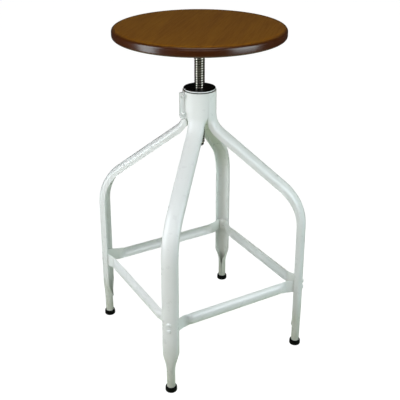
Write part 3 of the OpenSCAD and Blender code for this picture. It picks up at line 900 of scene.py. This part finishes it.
cap = [(SPINDLE_R + 0.8, MOUTH_TOP_Z + GAP), (SPINDLE_R + 0.8, CAP_TOP_Z - 0.3), (SPINDLE_R + 2.2, CAP_TOP_Z),
       (CAP_R - 2.0, CAP_TOP_Z - 0.1), (CAP_R - 0.2, CAP_TOP_Z - 0.7), (CAP_R - 0.1, MOUTH_TOP_Z + GAP),
       (TUBE_R - 2.55, MOUTH_TOP_Z + GAP), (TUBE_R - 2.6, CAP_LOW_Z), (TUBE_R - 4.4, CAP_LOW_Z),
       (TUBE_R - 4.5, MOUTH_TOP_Z + GAP)]
piece("cap_disc", [lathe(rounded(cap, 0.35, 3), 160)], "black_plastic", "base", ["top_cap"])

ring = [(SPINDLE_R + 0.1, RING_LOW_Z), (RING_R, RING_LOW_Z), (RING_R, RING_TOP_Z),
        (SPINDLE_R + 0.1, RING_TOP_Z)]
piece("buffer_bush", [lathe(rounded(ring, 1.2, 5), 96)], "black_rubber", "lift", ["buffer_ring"])


def thread_ridge(low, high, segments=64):
    """Right-hand ridge of the thread, tapering away into the rod over its first and last half turn."""
    root = SPINDLE_R - THREAD_DEPTH
    turns = (high - low) / PITCH
    count = int(turns * segments)
    points = []
    for k in range(count + 1):
        t = k / segments
        share = ease(min(t, turns - t) / 0.5)
        crest = root - 0.05 + (THREAD_DEPTH + 0.05) * share
        z = low + t * PITCH
        a = 2 * math.pi * t
        flank = [(root - 0.3, 1.95), (root + 0.12, 1.8), (mix(root, crest, 0.88), 1.28), (crest, 0.95)]
        for r, dz in [(r, -dz) for r, dz in flank] + flank[::-1]:
            points.append((r * math.cos(a), r * math.sin(a), z + dz))
    n = 2 * len(flank)
    faces = bands(count + 1, n)
    faces.append(tuple(range(n)))
    faces.append(tuple(count * n + i for i in range(n)))
    return points, faces


root_r = SPINDLE_R - THREAD_DEPTH
thread_top = BOSS_LOW_Z - 2
rod = [(0, SPINDLE_TIP_Z), (root_r - 1.5, SPINDLE_TIP_Z), (root_r, SPINDLE_TIP_Z + 1.5), (root_r, thread_top),
       (SPINDLE_R, thread_top + 1.5), (SPINDLE_R, SEAT_LOW_Z - GAP), (0, SEAT_LOW_Z - GAP)]
piece("spindle_screw", [lathe(rod, 64), thread_ridge(SPINDLE_TIP_Z + 4.2, thread_top - 1.5)],
      "spindle_steel", "seat_assembly", ["spindle"], sharp=50)

hub = [(SPINDLE_R + 0.05, BOSS_LOW_Z), (BOSS_R, BOSS_LOW_Z), (BOSS_R, BOSS_TOP_Z),
       (SPINDLE_R + 0.05, BOSS_TOP_Z)]
piece("hub", [lathe(rounded(hub, 1.6, 5), 96)], "dark_steel", "seat_assembly", ["spindle_boss"])


# ---------------------------------------------------------------- seat

def seat_profile():
    """Half section of the wooden disc: flat top, a slight fall to its soft upper edge, tighter lower edge."""
    top_a, top_b, low_r = 6.5, 6.2, 4.5
    fall, fall_w = 0.7, 6.0
    flat = SEAT_R - top_a
    points = [(0, SEAT_LOW_Z)]
    points += [(r, SEAT_LOW_Z) for r in (40, 80, 120, 150)]
    for k in range(11):
        a = math.radians(9 * k)
        points.append((SEAT_R - low_r + low_r * math.sin(a), SEAT_LOW_Z + low_r * (1 - math.cos(a))))
    for k in range(15):
        a = math.radians(90 * k / 14)
        points.append((flat + top_a * math.cos(a), SEAT_TOP_Z - fall - top_b + top_b * math.sin(a)))
    for k in range(1, 5):
        points.append((flat - fall_w * k / 4, SEAT_TOP_Z - fall + fall * ease(k / 4)))
    points += [(r, SEAT_TOP_Z) for r in (150, 110, 70, 30)]
    return points + [(0, SEAT_TOP_Z)]


piece("seat_disc", [lathe(seat_profile(), 256)], "stained_wood", "seat_assembly", ["seat"], sharp=60)

# CAD nodes that stay as they are
for node, slot in (("seat_plate", "dark_steel"), ("plate_screws", "zinc"), ("spindle_nut", "zinc")):
    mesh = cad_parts[node].data
    mesh.materials.clear()
    mesh.materials.append(MATERIALS[slot])


# ---------------------------------------------------------------- stage, lights and camera

# The camera's place in metres, measured out from the spindle's axis, its angles in degrees and its lens
CAM_DISTANCE = 1.4237
CAM_HEIGHT = 1.0436
CAM_AZIMUTH = -29.87
CAM_PITCH = 26.14
CAM_LENS = 64.39


def towards(azimuth, distance, height):
    """A point seen from above at an azimuth from the -Y side, as the camera's azimuth is measured."""
    a = math.radians(azimuth)
    return Vector((distance * math.sin(a), -distance * math.cos(a), height))


camera_data = bpy.data.cameras.new("view")
camera_data.lens = CAM_LENS
camera_data.sensor_width = 36
camera_data.shift_x = 0.00125
camera_data.shift_y = -0.00125
camera_data.clip_start = 0.05
camera_data.clip_end = 60
camera = bpy.data.objects.new("view", camera_data)
bpy.context.scene.collection.objects.link(camera)
camera.location = towards(CAM_AZIMUTH, CAM_DISTANCE, CAM_HEIGHT)
camera.rotation_euler = (math.radians(90 - CAM_PITCH), 0, math.radians(CAM_AZIMUTH))
bpy.context.scene.camera = camera


def stage_material(name, glow, albedo):
    material = bpy.data.materials.new(name)
    material.use_nodes = True
    shader = material.node_tree.nodes["Principled BSDF"]
    shader.inputs["Base Color"].default_value = (albedo, albedo, albedo, 1)
    shader.inputs["Roughness"].default_value = 0.9
    shader.inputs["Specular IOR Level"].default_value = 0.0
    shader.inputs["Emission Color"].default_value = (1, 1, 1, 1)
    shader.inputs["Emission Strength"].default_value = glow
    return material


def stage_piece(name, part, material):
    points, faces = part
    mesh = bpy.data.meshes.new(name)
    mesh.from_pydata([tuple(p) for p in points], [], faces)
    mesh.shade_smooth()
    mesh.materials.append(material)
    obj = bpy.data.objects.new(name, mesh)
    bpy.context.scene.collection.objects.link(obj)
    obj.visible_diffuse = False
    obj.visible_glossy = False
    obj.visible_transmission = False
    obj.visible_shadow = False


# Metres, with the floor just under the feet
STAGE_R = 9.0
STAGE_Z = -0.0005
STAGE_SIDES = 64


def disc():
    return circle(STAGE_R, STAGE_Z, STAGE_SIDES), [tuple(range(STAGE_SIDES))]


def dome():
    points = []
    angles = range(0, 90, 6)
    for a in angles:
        points += circle(STAGE_R * math.cos(math.radians(a)), STAGE_Z + STAGE_R * math.sin(math.radians(a)),
                         STAGE_SIDES)
    top = (len(angles) - 1) * STAGE_SIDES
    return points, bands(len(angles), STAGE_SIDES) + [tuple(top + k for k in range(STAGE_SIDES))]


stage_piece("floor", disc(), stage_material("pale_floor", 1.0, 0.1))
stage_piece("backdrop", dome(), stage_material("pale_backdrop", 1.0, 0.0))


def area_light(name, azimuth, distance, height, width, tall, power, aim=(0, 0, 0.5), tint=(1, 1, 1),
               seen=True):
    """A rectangular lamp aimed at a point. One that isn't seen lights surfaces but shows in no reflection."""
    data = bpy.data.lights.new(name, "AREA")
    data.shape = "RECTANGLE"
    data.size = width
    data.size_y = tall
    data.energy = power
    data.color = tint
    obj = bpy.data.objects.new(name, data)
    bpy.context.scene.collection.objects.link(obj)
    obj.location = towards(azimuth, distance, height)
    obj.rotation_euler = (Vector(aim) - obj.location).to_track_quat("-Z", "Y").to_euler()
    obj.visible_glossy = seen


area_light("key_left", CAM_AZIMUTH - 66, 1.3, 0.86, 0.55, 1.5, 14.4, tint=(0.87, 0.96, 1.0))
area_light("key_front", CAM_AZIMUTH - 42, 1.4, 0.86, 0.35, 1.4, 6.6, tint=(1.0, 0.85, 0.88), seen=False)
area_light("fill_right", CAM_AZIMUTH + 57, 1.4, 1.05, 0.85, 1.4, 18, aim=(0, 0, 0.8), tint=(0.86, 0.96, 1.0))
area_light("front", CAM_AZIMUTH, 1.7, 1.3, 1.4, 0.5, 3.0)
area_light("rear_right", CAM_AZIMUTH + 130, 1.3, 0.9, 0.7, 1.2, 6.4, tint=(0.97, 1.0, 0.82), seen=False)
area_light("top", CAM_AZIMUTH, 0.05, 2.2, 0.8, 0.8, 3.8, aim=(0, 0, 0.45))

# Greenish light comes from steeply below, and next to none from the sides and above
FROM_BELOW = (0.46, 0.56, 0.38, 1)
FROM_SIDES = (0.03, 0.03, 0.03, 1)
FROM_ABOVE = (0.01, 0.01, 0.01, 1)

world = bpy.data.worlds.new("studio")
bpy.context.scene.world = world
world.use_nodes = True
tree = world.node_tree
background = tree.nodes["Background"]
coordinates = tree.nodes.new("ShaderNodeTexCoord")
split = tree.nodes.new("ShaderNodeSeparateXYZ")
raised = tree.nodes.new("ShaderNodeMapRange")
raised.inputs["From Min"].default_value = -1
raised.inputs["From Max"].default_value = 1
ramp = tree.nodes.new("ShaderNodeValToRGB")
stops = ((0.0, FROM_BELOW), (0.16, FROM_BELOW), (0.27, FROM_SIDES), (1.0, FROM_ABOVE))
while len(ramp.color_ramp.elements) < len(stops):
    ramp.color_ramp.elements.new(0.5)
for element, (place, colour) in zip(ramp.color_ramp.elements, stops):
    element.position = place
    element.color = colour
tree.links.new(coordinates.outputs["Generated"], split.inputs[0])
tree.links.new(split.outputs[2], raised.inputs["Value"])
tree.links.new(raised.outputs[0], ramp.inputs["Fac"])
tree.links.new(ramp.outputs["Color"], background.inputs["Color"])
background.inputs["Strength"].default_value = 1.0

bpy.context.scene.view_settings.view_transform = "Standard"
